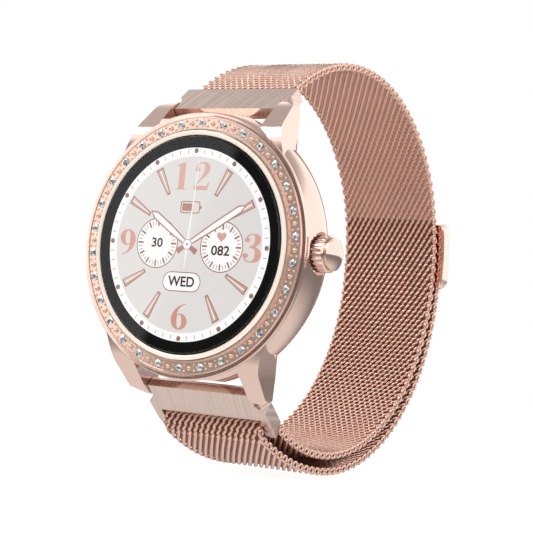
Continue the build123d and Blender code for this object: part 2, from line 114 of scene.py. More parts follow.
def spread(nodes, links, source, low, high):
    """A value that runs from low to high as the noise does."""
    ranged = add_node(nodes, "ShaderNodeMapRange")
    ranged.inputs["From Min"].default_value = 0.3
    ranged.inputs["From Max"].default_value = 0.7
    ranged.inputs["To Min"].default_value = low
    ranged.inputs["To Max"].default_value = high
    links.new(source, ranged.inputs["Value"])
    return ranged.outputs["Result"]


def metal(name, colour, rough, change=0.06, scratch=0.0, stretch=(1, 1, 1), scale=900.0, satin=0.0):
    """Plated metal: slight changes of tone and gloss, and fine scratches along one direction.
    satin is the share of light that it scatters."""
    material, nodes, links, shader = new_material(name)
    shader.inputs["Metallic"].default_value = 1.0 - satin
    cloud = object_noise(nodes, links, 160.0)
    tone = add_node(nodes, "ShaderNodeMix", data_type="RGBA")
    tone.inputs["A"].default_value = (*[c * (1 - change) for c in colour], 1)
    tone.inputs["B"].default_value = (*colour, 1)
    links.new(cloud.outputs["Fac"], tone.inputs["Factor"])
    links.new(tone.outputs["Result"], shader.inputs["Base Color"])
    grain = object_noise(nodes, links, scale, stretch)
    rough_out = spread(nodes, links, grain.outputs["Fac"], rough * 0.75, rough * 1.3)
    links.new(rough_out, shader.inputs["Roughness"])
    if scratch:
        bump = add_node(nodes, "ShaderNodeBump")
        bump.inputs["Strength"].default_value = scratch
        bump.inputs["Distance"].default_value = 0.00002
        links.new(grain.outputs["Fac"], bump.inputs["Height"])
        links.new(bump.outputs["Normal"], shader.inputs["Normal"])
    return material


def scratched(name, colour, rough, slant):
    """Metal with fine straight scratches. From the front they slant from the vertical by slant,
    in radians."""
    material, nodes, links, shader = new_material(name)
    shader.inputs["Metallic"].default_value = 0.95
    place = add_node(nodes, "ShaderNodeTexCoord")
    turned = add_node(nodes, "ShaderNodeMapping", vector_type="TEXTURE")
    turned.inputs["Rotation"].default_value = (0, slant, 0)
    turned.inputs["Scale"].default_value = (1, 60, 60)
    lines = add_node(nodes, "ShaderNodeTexNoise")
    lines.inputs["Scale"].default_value = 5200.0
    lines.inputs["Detail"].default_value = 2.0
    links.new(place.outputs["Object"], turned.inputs["Vector"])
    links.new(turned.outputs["Vector"], lines.inputs["Vector"])
    tone = add_node(nodes, "ShaderNodeMix", data_type="RGBA")
    tone.inputs["A"].default_value = (*[c * 0.78 for c in colour], 1)
    tone.inputs["B"].default_value = (*colour, 1)
    links.new(spread(nodes, links, lines.outputs["Fac"], 0.0, 1.0), tone.inputs["Factor"])
    links.new(tone.outputs["Result"], shader.inputs["Base Color"])
    rough_out = spread(nodes, links, lines.outputs["Fac"], rough * 0.7, rough * 1.3)
    links.new(rough_out, shader.inputs["Roughness"])
    bump = add_node(nodes, "ShaderNodeBump")
    bump.inputs["Strength"].default_value = 0.12
    bump.inputs["Distance"].default_value = 0.00002
    links.new(lines.outputs["Fac"], bump.inputs["Height"])
    links.new(bump.outputs["Normal"], shader.inputs["Normal"])
    return material


def moulded(name, colour, rough, grain=0.15):
    """Plastic, rubber or board with a fine texture."""
    material, nodes, links, shader = new_material(name)
    noise = object_noise(nodes, links, 2500.0)
    tone = add_node(nodes, "ShaderNodeMix", data_type="RGBA")
    tone.inputs["A"].default_value = (*[c * 0.8 for c in colour], 1)
    tone.inputs["B"].default_value = (*colour, 1)
    links.new(noise.outputs["Fac"], tone.inputs["Factor"])
    links.new(tone.outputs["Result"], shader.inputs["Base Color"])
    shader.inputs["Roughness"].default_value = rough
    bump = add_node(nodes, "ShaderNodeBump")
    bump.inputs["Strength"].default_value = grain
    bump.inputs["Distance"].default_value = 0.00002
    links.new(noise.outputs["Fac"], bump.inputs["Height"])
    links.new(bump.outputs["Normal"], shader.inputs["Normal"])
    return material


def clear_glass(name, tint=(1, 1, 1)):
    """Thin clear cover: what is behind shows through, with a mirror reflection on top."""
    material, nodes, links, shader = new_material(name)
    nodes.remove(shader)
    through = add_node(nodes, "ShaderNodeBsdfTransparent")
    through.inputs["Color"].default_value = (*tint, 1)
    gloss = add_node(nodes, "ShaderNodeBsdfGlossy")
    gloss.inputs["Roughness"].default_value = 0.0
    fresnel = add_node(nodes, "ShaderNodeFresnel")
    fresnel.inputs["IOR"].default_value = 1.45
    mixed = add_node(nodes, "ShaderNodeMixShader")
    links.new(fresnel.outputs["Fac"], mixed.inputs["Fac"])
    links.new(through.outputs["BSDF"], mixed.inputs[1])
    links.new(gloss.outputs["BSDF"], mixed.inputs[2])
    links.new(mixed.outputs["Shader"], nodes["Material Output"].inputs["Surface"])
    return material


def lit(name, colour, other=None, across=None):
    """Part of the lit screen. With other, its colour shades to that one in the direction across."""
    material, nodes, links, shader = new_material(name)
    shader.inputs["Base Color"].default_value = (0.01, 0.01, 0.01, 1)
    shader.inputs["Specular IOR Level"].default_value = 0.0
    shader.inputs["Emission Color"].default_value = (*colour, 1)
    shader.inputs["Emission Strength"].default_value = 1.0
    if other:
        place = add_node(nodes, "ShaderNodeTexCoord")
        along = add_node(nodes, "ShaderNodeVectorMath", operation="DOT_PRODUCT")
        along.inputs[1].default_value = across
        fade = add_node(nodes, "ShaderNodeMix", data_type="RGBA")
        fade.inputs["A"].default_value = (*colour, 1)
        fade.inputs["B"].default_value = (*other, 1)
        centred = add_node(nodes, "ShaderNodeMath", operation="ADD", use_clamp=True)
        centred.inputs[1].default_value = 0.5
        links.new(place.outputs["Object"], along.inputs[0])
        links.new(along.outputs["Value"], centred.inputs[0])
        links.new(centred.outputs["Value"], fade.inputs["Factor"])
        links.new(fade.outputs["Result"], shader.inputs["Emission Color"])
    return material


POLISHED = metal("polished_rose", (0.90, 0.66, 0.57), 0.08, 0.03, satin=0.05)
DEEP = metal("deep_rose", (0.88, 0.53, 0.41), 0.09)
BEAD = metal("bead_rose", (0.96, 0.70, 0.56), 0.08, satin=0.05)
BED = metal("bezel_rose", (0.88, 0.64, 0.54), 0.09, 0.02, satin=0.3)
GOLD_TRIM = metal("pale_gold", (0.97, 0.84, 0.72), 0.22, 0.02, satin=0.88)
BRUSHED = scratched("brushed_rose", (0.86, 0.67, 0.59), 0.26, 0.35)
SATIN = metal("satin_rose", (0.94, 0.74, 0.66), 0.2, 0.04, 0.1, (1, 8, 8), satin=0.25)
WIRE = metal("wire_rose", (0.93, 0.61, 0.50), 0.2, 0.08, satin=0.08)
# painted shade: a dark strip inside the weave stands in for the shade between the wires; its
# lighter copy is painted light for where the loop is a single layer
WEAVE_PAINTED_SHADE = metal("mesh_painted_shade", (0.26, 0.10, 0.06), 0.5, 0.15, satin=0.6)
WEAVE_PAINTED_LIGHT = metal("mesh_painted_light", (0.72, 0.42, 0.33), 0.5, 0.15, satin=0.8)
STEEL = metal("plain_steel", (0.62, 0.62, 0.64), 0.2)
NICKEL = metal("nickel", (0.72, 0.71, 0.69), 0.1)
CONTACT = metal("contact_gold", (0.95, 0.74, 0.36), 0.12)
POUCH = metal("pouch_foil", (0.7, 0.71, 0.73), 0.35, 0.1, 0.3)
RUBBER = moulded("seal_rubber", (0.02, 0.02, 0.02), 0.7)
PLASTIC = moulded("black_plastic", (0.025, 0.025, 0.028), 0.45)
BOARD = moulded("solder_mask", (0.01, 0.09, 0.05), 0.35)
PANEL = moulded("panel_black", (0.01, 0.01, 0.012), 0.2, 0.05)
GLASS = clear_glass("cover_glass_clear")
SENSOR_GLASS = clear_glass("sensor_glass_dark", (0.05, 0.05, 0.06))

CAD_MATERIALS = {
    "mid_case": POLISHED, "case_back": POLISHED, "bezel_ring": BED, "glass_trim_ring": GOLD_TRIM,
    "cover_glass": GLASS, "sensor_window": SENSOR_GLASS, "display_panel": PANEL,
    "glass_gasket": RUBBER, "back_gasket": RUBBER, "stem_seals": RUBBER,
    "display_flex": CONTACT, "movement_frame": PLASTIC, "battery": POUCH, "main_board": BOARD,
    "board_shield": STEEL, "main_chip": PLASTIC, "vibration_motor": STEEL,
    "crown_switch": PLASTIC, "crown_switch_plunger": PLASTIC, "back_screws": STEEL,
    "sensor_board": BOARD, "optical_sensor": PLASTIC, "sensor_holder": PLASTIC,
    "charging_pins": CONTACT, "charging_magnets": NICKEL, "crown_tube": STEEL,
    "crown_stem": STEEL, "crown_stem_clip": STEEL, "encoder_magnet": NICKEL,
    "crown_knob": POLISHED, "crown_groove_ring": DEEP, "crown_cap": POLISHED,
    "top_bar_barrel": STEEL, "bottom_bar_barrel": STEEL, "top_bar_tip_right": STEEL,
    "top_bar_tip_left": STEEL, "bottom_bar_tip_right": STEEL, "bottom_bar_tip_left": STEEL,
    "top_connector": BRUSHED, "bottom_connector": BRUSHED, "fold_bar": STEEL,
    "clasp_plate": SATIN, "clasp_liner": DEEP, "clasp_magnet": NICKEL,
}


def paint_cad():
    for name, material in CAD_MATERIALS.items():
        mesh = frame["nodes"][name].data
        mesh.materials.clear()
        mesh.materials.append(material)


# ------------------------------------------------------------------ mesh building
def make_piece(name, points, faces, material, smooth=True):
    mesh = bpy.data.meshes.new(name)
    mesh.from_pydata([tuple(p) for p in points], [], [tuple(f) for f in faces])
    mesh.materials.append(material)
    if smooth:
        mesh.polygons.foreach_set("use_smooth", [True] * len(mesh.polygons))
    mesh.update()
    piece = bpy.data.objects.new(name, mesh)
    bpy.context.scene.collection.objects.link(piece)
    return piece


def tube(points, radius, sides, closed=False):
    """Points and faces of a round wire along a line of points."""
    points = np.asarray(points, float)
    if closed:
        ahead = np.roll(points, -1, 0) - np.roll(points, 1, 0)
    else:
        ahead = np.gradient(points, axis=0)
    ahead /= np.linalg.norm(ahead, axis=1, keepdims=True)
    # the wires run mostly across the strap, so a fixed side vector would twist: carry one along
    side = np.cross(ahead[0], (0.31, 0.83, 0.46))
    sides_along = np.empty_like(points)
    for i, direction in enumerate(ahead):
        side = side - direction * (side @ direction)
        side /= np.linalg.norm(side)
        sides_along[i] = side
    other = np.cross(ahead, sides_along)
    angles = np.arange(sides) * 2 * pi / sides
    round_points = (points[:, None]
                    + radius * np.cos(angles)[None, :, None] * sides_along[:, None]
                    + radius * np.sin(angles)[None, :, None] * other[:, None])
    count = len(points)
    rows = np.arange(count if closed else count - 1)[:, None]
    column = np.arange(sides)[None, :]
    after, turned = (rows + 1) % count, (column + 1) % sides
    quads = np.stack([rows * sides + column, rows * sides + turned,
                      after * sides + turned, after * sides + column], -1).reshape(-1, 4)
    return round_points.reshape(-1, 3), quads


def gather(parts):
    """Joins (points, faces) pairs into one."""
    points, faces, start = [], [], 0
    for some_points, some_faces in parts:
        points.append(some_points)
        faces.append(np.asarray(some_faces) + start)
        start += len(some_points)
    return np.concatenate(points), np.concatenate(faces)


# ------------------------------------------------------------------ strap path, as in the CAD
class ArcPath:
    """Line in the (Y, Z) plane made of tangent arcs, measured by its length from the start."""

    def __init__(self, start, heading, pieces):
        self.pieces = []
        y, z = start
        for radius, sweep, length in pieces:
            turn = radians(sweep)
            run = abs(turn) * radius if radius else length
            self.pieces.append((y, z, heading, radius, turn, run))
            y, z, heading = self.along(self.pieces[-1], run)
        self.length = sum(piece[5] for piece in self.pieces)

    @staticmethod
    def along(piece, run):
        y, z, heading, radius, turn, _ = piece
        if not radius:
            return y + run * cos(heading), z + run * sin(heading), heading
        side = 1 if turn > 0 else -1
        end = heading + side * run / radius
        return (y + side * radius * (sin(end) - sin(heading)),
                z - side * radius * (cos(end) - cos(heading)), end)

    def state(self, s):
        for piece in self.pieces:
            if s <= piece[5] or piece is self.pieces[-1]:
                return self.along(piece, s)
            s -= piece[5]

    def length_at(self, point):
        """How far along the path it passes closest to a point."""
        steps = np.linspace(0, self.length, 3000)
        gaps = [hypot(self.state(s)[0] - point[0], self.state(s)[1] - point[1]) for s in steps]
        return float(steps[int(np.argmin(gaps))])


def joint_place(name):
    """(Y, Z) of a joint's axis, in millimetres."""
    return tuple(v / MM for v in JOINTS[name]["pos_m"][1:])


TILT = 41.0                     # slope of both connectors, in degrees
BAR_TO_MESH = 4.55              # spring bar to the end of the connector, along it
BAR_Y, BAR_Z = joint_place("strap_flex")
FOLD_Y, FOLD_Z = joint_place("tail_root")
FOLD_R = 1.55
LOOP_ENDS = 34.6                # the loop ends turned this far down from straight to the front
FOLD_LEAD = 4.0                 # the weave round the fold bar starts this far into its turn
TAIL_LEAVES = 27.8              # slope of the tail where it leaves the fold bar
LAYER_PITCH = 2.0               # from the loop to the tail that lies on it
BACK_R = 29.3                   # lower back curve of the loop
LOOP = ArcPath(
    (BAR_Y + BAR_TO_MESH * cos(radians(TILT)), BAR_Z + BAR_TO_MESH * sin(radians(TILT))),
    radians(TILT),
    [(30.5, -TILT, 0), (28.4, -90, 0), (0, 0, 1.7), (BACK_R, -90, 0), (29.6, -LOOP_ENDS, 0)])
TAIL = ArcPath(
    (FOLD_Y - FOLD_R * sin(radians(TAIL_LEAVES)), FOLD_Z - FOLD_R * cos(radians(TAIL_LEAVES))),
    radians(-TAIL_LEAVES),
    [(39.4, TAIL_LEAVES, 0), (BACK_R + LAYER_PITCH, 90, 0), (0, 0, 4.0)])
# the turn round the fold bar, from where the loop ends to where the tail starts
FOLD_FROM = 90 - LOOP_ENDS + FOLD_LEAD
FOLD_TURN = ArcPath(
    (FOLD_Y + FOLD_R * cos(radians(FOLD_FROM)), FOLD_Z + FOLD_R * sin(radians(FOLD_FROM))),
    radians(90 + FOLD_FROM),
    [(FOLD_R, 270 - TAIL_LEAVES - FOLD_FROM, 0)])

# ------------------------------------------------------------------ woven mesh
TURNS = 16                      # turns of each wire across the strap
ROW_STEP = 0.80                 # from one wire to the next along the strap
WIRE_R = 0.225
COIL_LONG = 0.52                # half the coil's length along the strap
COIL_THICK = 0.42               # half its thickness, to the wire's middle
SWAY = 0.22                     # sideways swing that lays the front of each turn over
STEPS_PER_TURN = 12
WIRE_SIDES = 6
RING_LONG = 0.50                # half the length of the loops along the edge
RING_STEPS = 14
# the strip inside the weave is a dark sheet of painted shade
CORE_HALF = 0.13                # half the thickness of the strip inside
CORE_INSET = 0.55               # how far it stays inside the strap's edge
CORE_STEP = 0.8
LOOP_STARTS = 0.4               # where the weave starts and stops on each path
LOOP_STOPS = 0.3
FOLD_STARTS = 0.2
TAIL_STOPS = 3.6
BEND_REACH = 3.2                # a distance each way from a joint along the path
FIRST_BEND_REACH = 2.2


def row_points(path, s, row):
    """One wire: a flattened coil across the strap. Every other row starts half a turn on."""
    half_w = MESH_HALF_W / MM - WIRE_R - SWAY
    t = np.linspace(0, TURNS, TURNS * STEPS_PER_TURN + 1)
    phase = 2 * pi * t + (pi if row % 2 else 0)
    x = -half_w + 2 * half_w * t / TURNS - SWAY * np.sin(2 * phase)
    along, out = -COIL_LONG * np.cos(phase), COIL_THICK * np.sin(phase)
    y, z, heading = path.state(s)
    ys = y + along * cos(heading) - out * sin(heading)
    zs = z + along * sin(heading) + out * cos(heading)
    return np.stack([x, ys, zs], 1) * MM


def edge_ring(path, s, side):
    """Round loop that ties two wires together at the strap's edge."""
    angle = np.arange(RING_STEPS) * 2 * pi / RING_STEPS
    y, z, heading = path.state(s)
    along, out = RING_LONG * np.cos(angle), COIL_THICK * np.sin(angle)
    ys = y + along * cos(heading) - out * sin(heading)
    zs = z + along * sin(heading) + out * cos(heading)
    x = np.full_like(ys, side * (MESH_HALF_W / MM - WIRE_R))
    return np.stack([x, ys, zs], 1) * MM


def painted_shade_strip(path, start, end):
    """Dark strip inside the weave, seen between the wires: painted shade standing in for the shade
    inside the weave.
    """
    count = max(2, int((end - start) / CORE_STEP) + 1)
    half_w = MESH_HALF_W / MM - CORE_INSET
    points = []
    for s in np.linspace(start, end, count):
        y, z, heading = path.state(s)
        for x in (-half_w, half_w):
            for out in (-CORE_HALF, CORE_HALF):
                points.append((x, y - out * sin(heading), z + out * cos(heading)))
    faces = []
    for i in range(count - 1):
        a, b = 4 * i, 4 * i + 4
        faces += [(a, a + 2, b + 2, b), (a + 1, b + 1, b + 3, a + 3),
                  (a, b, b + 1, a + 1), (a + 2, a + 3, b + 3, b + 2)]
    last = 4 * (count - 1)
    faces += [(0, 1, 3, 2), (last, last + 2, last + 3, last + 1)]
    return np.array(points) * MM, faces


def weave(stretches):
    """Points and faces of woven mesh over (path, from, to) stretches."""
    parts = []
    for path, start, end in stretches:
        first, last = int(np.ceil(start / ROW_STEP)), int(np.floor(end / ROW_STEP - 1e-6))
        for row in range(first, last + 1):
            s = row * ROW_STEP
            parts.append(tube(row_points(path, s, row), WIRE_R * MM, WIRE_SIDES))
            if row % 2 == 0:
                for side in (1, -1):
                    ring = edge_ring(path, s + ROW_STEP / 2, side)
                    parts.append(tube(ring, WIRE_R * MM, WIRE_SIDES, closed=True))
    return gather(parts)


def on_path(path, s):
    y, z, _ = path.state(s)
    return (0, y * MM, z * MM)


def woven_piece(name, stretches, nodes, path, bend, reach=BEND_REACH):
    """A length of mesh around one joint."""
    wires = weave(stretches)
    painted_shade_strips = [painted_shade_strip(*stretch) for stretch in stretches]
    piece = make_piece(name, *gather([wires, *painted_shade_strips]), WIRE)
    piece.data.materials.append(WEAVE_PAINTED_SHADE)
    piece.data.materials.append(WEAVE_PAINTED_LIGHT)
    # painted light and shade: on the loop above the clasp top, where the strap is a single layer,
    # the inner strip takes its lighter copy, and elsewhere its darker copy, so the change of tone
    # is painted at that height
    for face in piece.data.polygons[len(wires[1]):]:
        painted_light_above_clasp = path is LOOP and face.center.z > CLASP_TOP
        face.material_index = 2 if painted_light_above_clasp else 1
        face.use_smooth = False
    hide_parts(*nodes)
    on_path(path, bend - reach)
    on_path(path, bend + reach)
    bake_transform(piece)
    return piece


def halfway(bends):
    return [(a + b) / 2 for a, b in zip(bends, bends[1:])]


def build_strap():
    bends = [LOOP.length_at(joint_place(f"loop_bend_{i}")) for i in range(1, 7)]
    cuts = [LOOP_STARTS] + halfway(bends) + [LOOP.length - LOOP_STOPS]
    for i, bend in enumerate(bends):
        nodes = [f"mesh_loop_{i + 2}"] if i else ["mesh_loop_1", "mesh_loop_2"]
        woven_piece(f"woven_loop_{i + 1}", [(LOOP, cuts[i], cuts[i + 1])], nodes,
                    LOOP, bend, BEND_REACH if i else FIRST_BEND_REACH)
    names = ("tail_bend_1", "tail_bend_2", "clasp_peel")
    bends = [TAIL.length_at(joint_place(name)) for name in names]
    cuts = [0.0] + halfway(bends) + [TAIL.length - TAIL_STOPS]
    for i, bend in enumerate(bends):
        stretches = [(TAIL, cuts[i], cuts[i + 1])]
        if i == 0:
            stretches.insert(0, (FOLD_TURN, FOLD_STARTS, FOLD_TURN.length))
        nodes = [f"mesh_tail_{i + 2}"] if i else ["mesh_tail_1", "mesh_tail_2"]
        woven_piece(f"woven_tail_{i + 1}", stretches, nodes, TAIL, bend)


# ------------------------------------------------------------------ bezel: stones and beads
STONES = 30
STONE_RING_R = 17.42
STONE_R = 0.56
LARGE_BEAD_R = 0.37
SMALL_BEAD_R = 0.20
SMALL_BEADS_AT = [0.27, 0.73]   # as fractions of the step between stones
SMALL_BEADS_OFF = 0.42          # inside and outside the ring of stones


def gem(x, z):
    """Round-cut stone: eight-sided table, three rows of facets and a girdle."""
    girdle_y = BED_Y / MM - 0.24 + 0.12
    levels = ((0.30, -0.14, 0.0, 8), (0.46, -0.07, 0.5, 8), (STONE_R, 0.0, 0.0, 16),
              (STONE_R, 0.06, 0.0, 16), (0.34, 0.22, 0.0, 16))
    points, rings = [], []
    for radius, depth, shift, count in levels:
        ring = []
        for i in range(count):
            a = 2 * pi * (i + shift) / count
            ring.append(len(points))
            points.append(((x + radius * cos(a)) * MM, (girdle_y + depth) * MM,
                           (z + radius * sin(a)) * MM))
        rings.append(ring)
    table, star, girdle, lower, back = rings
    points.append((x * MM, (girdle_y - 0.10) * MM, z * MM))
    middle = len(points) - 1
    faces = []
    for i in range(8):
        j = (i + 1) % 8
        faces.append((middle, table[j], table[i]))
        faces.append((table[i], table[j], star[i]))
        faces.append((table[j], star[j], girdle[2 * j], star[i]))
        faces.append((star[i], girdle[2 * i + 1], girdle[2 * i]))
        faces.append((star[i], girdle[(2 * i + 2) % 16], girdle[2 * i + 1]))
    for i in range(16):
        j = (i + 1) % 16
        faces.append((girdle[i], girdle[j], lower[j], lower[i]))
        faces.append((lower[i], lower[j], back[j], back[i]))
    faces.append(tuple(back))
    return points, faces


def stone_painted_reflections():
    """Foil-backed stone with a mirror finish, its base colour painted in patches of dark grey, grey
    and near white: painted reflections and glints standing in for what each facet mirrors.
    """
    material, nodes, links, shader = new_material("stone_painted_reflections")
    shader.inputs["Metallic"].default_value = 0.8
    shader.inputs["Roughness"].default_value = 0.04
    noise = object_noise(nodes, links, 3200.0, detail=1.0)
    # painted reflections: constant steps of the noise paint dark, grey and near-white facet
    # patches; the near-white step is a painted glint
    steps = add_node(nodes, "ShaderNodeValToRGB")
    steps.color_ramp.interpolation = "CONSTANT"
    steps.color_ramp.elements[0].color = (0.16, 0.17, 0.18, 1)
    steps.color_ramp.elements[1].position = 0.40
    steps.color_ramp.elements[1].color = (0.62, 0.66, 0.67, 1)
    bright = steps.color_ramp.elements.new(0.53)
    bright.color = (0.97, 0.98, 1.0, 1)
    links.new(noise.outputs["Fac"], steps.inputs["Fac"])
    links.new(steps.outputs["Color"], shader.inputs["Base Color"])
    return material


def half_ball(x, z, radius, rings=7, count=20):
    """Half-round bead on the channel floor."""
    points = [(x * MM, BED_Y - radius * MM, z * MM)]
    faces = []
    for ring in range(1, rings + 1):
        a = pi / 2 * ring / rings
        for i in range(count):
            b = 2 * pi * i / count
            points.append(((x + radius * sin(a) * cos(b)) * MM, BED_Y - radius * cos(a) * MM,
                           (z + radius * sin(a) * sin(b)) * MM))
    for i in range(count):
        j = (i + 1) % count
        faces.append((0, 1 + j, 1 + i))
        for ring in range(rings - 1):
            a, b = 1 + ring * count, 1 + (ring + 1) * count
            faces.append((a + i, a + j, b + j, b + i))
    faces.append(tuple(1 + (rings - 1) * count + i for i in range(count)))
    return points, faces


def gather_lists(parts):
    points, faces = [], []
    for some_points, some_faces in parts:
        start = len(points)
        points += some_points
        faces += [tuple(i + start for i in face) for face in some_faces]
    return points, faces


def ring_places(fractions, radius):
    step = 2 * pi / STONES
    angles = [step * (i + f) for i in range(STONES) for f in fractions]
    return [(radius * sin(a), radius * cos(a)) for a in angles]


def build_bezel():
    stones = make_piece("stones", *gather_lists(
        gem(x, z) for x, z in ring_places([0], STONE_RING_R)), stone_painted_reflections(), smooth=False)
    large = make_piece("large_beads", *gather_lists(
        half_ball(x, z, LARGE_BEAD_R) for x, z in ring_places([0.5], STONE_RING_R)), BEAD)
    spots = ring_places(SMALL_BEADS_AT, STONE_RING_R + SMALL_BEADS_OFF)
    spots += ring_places(SMALL_BEADS_AT, STONE_RING_R - SMALL_BEADS_OFF)
    small = make_piece("small_beads", *gather_lists(
        half_ball(x, z, SMALL_BEAD_R, 5, 14) for x, z in spots), BEAD)
    for piece, node, slot in ((stones, "bezel_stones", "stones"),
                              (large, "bezel_beads_large", "bead_metal"),
                              (small, "bezel_beads_small", "bead_metal")):
        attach(piece, "case")
        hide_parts(node)


# ------------------------------------------------------------------ dial
TRIM_INNER, TRIM_OUTER = 15.62, 16.30   # radii of the pale ring round the glass
DIAL_R = 13.34                  # radius of the ring of hour dots: one dial unit, in millimetres
PICTURE_DEPTH = 0.26            # of the picture behind the front of the glass
LAYER = 0.012                   # each layer of the picture stands this far in front of the last

WHITE = lit("lit_white", srgb("FFFFFF"))
GREIGE = lit("lit_greige", srgb("EBE7E5"), srgb("DFDAD7"), (14.0, 0.0, 0.0))
SALMON = lit("lit_salmon", srgb("DEB4A6"), srgb("D19B89"), (0.0, 0.0, -60.0))
ROSE_LINE = lit("lit_rose", srgb("B88B7E"))
ROSE_LIGHT = lit("lit_rose_light", srgb("E6CCC2"), srgb("C9A598"), (30.0, 0.0, 0.0))
TAUPE = lit("lit_taupe", srgb("9A766B"))
BROWN = lit("lit_brown", srgb("48322B"))
BLACK = lit("lit_black", (0.0, 0.0, 0.0))


def layer_y(level):
    """The picture is seen right under the front of the glass, as on a laminated screen."""
    return GLASS_FRONT_Y + (PICTURE_DEPTH - LAYER * level) * MM


def flat(name, outlines, level, material):
    """Filled shapes from outlines in dial units, x to the right and z up."""
    points, faces = [], []
    for outline in outlines:
        start = len(points)
        points += [(x * DIAL_R * MM, layer_y(level), z * DIAL_R * MM) for x, z in outline]
        faces.append(tuple(range(start, len(points))))
    piece = make_piece(name, points, faces, material, smooth=False)
    grid = bmesh.new()
    grid.from_mesh(piece.data)
    bmesh.ops.triangulate(grid, faces=grid.faces[:])
    for face in grid.faces:
        face.normal_update()
        if face.normal.y > 0:
            face.normal_flip()
    grid.to_mesh(piece.data)
    grid.free()
    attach(piece, "case")
    return piece


def arc(cx, cz, r, start=0.0, end=360.0, count=48):
    open_ended = end - start < 360
    angles = [radians(start + (end - start) * i / count) for i in range(count + open_ended)]
    return [(cx + r * cos(a), cz + r * sin(a)) for a in angles]


def band(cx, cz, outer, inner, count=96):
    """Ring as short four-sided outlines."""
    step = 2 * pi / count
    made = []
    for i in range(count):
        a, b = i * step, (i + 1) * step
        made.append([(cx + r * cos(angle), cz + r * sin(angle))
                     for r, angle in ((inner, a), (outer, a), (outer, b), (inner, b))])
    return made


def radial(clock_deg, r_1, r_2, half_1, half_2, cx=0.0, cz=0.0):
    """Four-sided bar that points out from a centre, at an angle clockwise from 12."""
    a = radians(clock_deg)
    ux, uz = sin(a), cos(a)
    px, pz = uz, -ux
    corners = ((r_1, half_1), (r_2, half_2), (r_2, -half_2), (r_1, -half_1))
    return [(cx + r * ux + h * px, cz + r * uz + h * pz) for r, h in corners]


def radial_side(clock_deg, r_1, r_2, half_1, half_2, side):
    """One lengthwise half of such a bar."""
    a = radians(clock_deg)
    corners = ((r_1, 0), (r_2, 0), (r_2, side * half_2), (r_1, side * half_1))
    return [(r * sin(a) + h * cos(a), r * cos(a) - h * sin(a)) for r, h in corners]


def brush(stroke, steps=7):
    """Outline of a pen stroke from (x, z, width) points, smoothly joined."""
    p = [np.array(v, float) for v in (stroke[0], *stroke, stroke[-1])]
    line = []
    for i in range(1, len(p) - 2):
        for t in np.linspace(0, 1, steps, endpoint=False):
            line.append(0.5 * (2 * p[i] + (p[i + 1] - p[i - 1]) * t
                               + (2 * p[i - 1] - 5 * p[i] + 4 * p[i + 1] - p[i + 2]) * t ** 2
                               + (3 * p[i] - p[i - 1] - 3 * p[i + 1] + p[i + 2]) * t ** 3))
    line = np.array(line + [p[-2]])
    ahead = np.gradient(line[:, :2], axis=0)
    ahead /= np.linalg.norm(ahead, axis=1, keepdims=True) + 1e-12
    side = np.stack([-ahead[:, 1], ahead[:, 0]], 1) * line[:, 2:3] / 2
    left, right = line[:, :2] + side, line[:, :2] - side
    return [[tuple(left[i]), tuple(left[i + 1]), tuple(right[i + 1]), tuple(right[i])]
            for i in range(len(line) - 1)]


# digits on a unit box one high, as pen strokes with a thick and a thin direction
def digit_1():
    return [[(0.15, 0.03), (0.38, 0.03), (0.38, 0.97), (0.29, 0.97), (0.15, 0.90)],
            [(0.04, 0.0), (0.48, 0.0), (0.48, 0.035), (0.04, 0.035)],
            [(0.02, 0.84), (0.17, 0.84), (0.29, 0.97), (0.04, 0.875)]]


def digit_2():
    bowl = [(0.10, 0.76, 0.05), (0.16, 0.92, 0.05), (0.30, 0.975, 0.05), (0.44, 0.90, 0.15),
            (0.47, 0.74, 0.19), (0.40, 0.56, 0.14), (0.26, 0.38, 0.06), (0.12, 0.20, 0.045),
            (0.06, 0.08, 0.04)]
    return [*brush(bowl), arc(0.14, 0.74, 0.085, count=24),
            [(0.05, 0.0), (0.52, 0.0), (0.57, 0.28), (0.53, 0.28), (0.48, 0.16), (0.07, 0.15)]]


def digit_3():
    upper = [(0.12, 0.78, 0.05), (0.18, 0.93, 0.05), (0.31, 0.975, 0.05), (0.43, 0.89, 0.15),
             (0.44, 0.73, 0.17), (0.36, 0.58, 0.10), (0.22, 0.535, 0.04)]
    lower = [(0.22, 0.535, 0.04), (0.40, 0.48, 0.10), (0.48, 0.30, 0.19), (0.44, 0.11, 0.16),
             (0.30, 0.02, 0.05), (0.15, 0.06, 0.05), (0.08, 0.22, 0.05)]
    return [*brush(upper), *brush(lower), arc(0.15, 0.77, 0.08, count=24),
            arc(0.12, 0.23, 0.085, count=24)]


def digit_6():
    stem = [(0.47, 0.96, 0.03), (0.30, 0.86, 0.06), (0.17, 0.66, 0.13), (0.13, 0.40, 0.19),
            (0.17, 0.14, 0.15), (0.30, 0.015, 0.05), (0.43, 0.12, 0.14), (0.47, 0.30, 0.18),
            (0.42, 0.49, 0.13), (0.31, 0.58, 0.045), (0.19, 0.50, 0.04)]
    return brush(stem)


def digit_9():
    return [[(0.60 - x, 1.0 - z) for x, z in outline] for outline in digit_6()]


def placed(outlines, left, bottom, height, wide=1.0):
    return [[(left + x * height * wide, bottom + z * height) for x, z in o] for o in outlines]


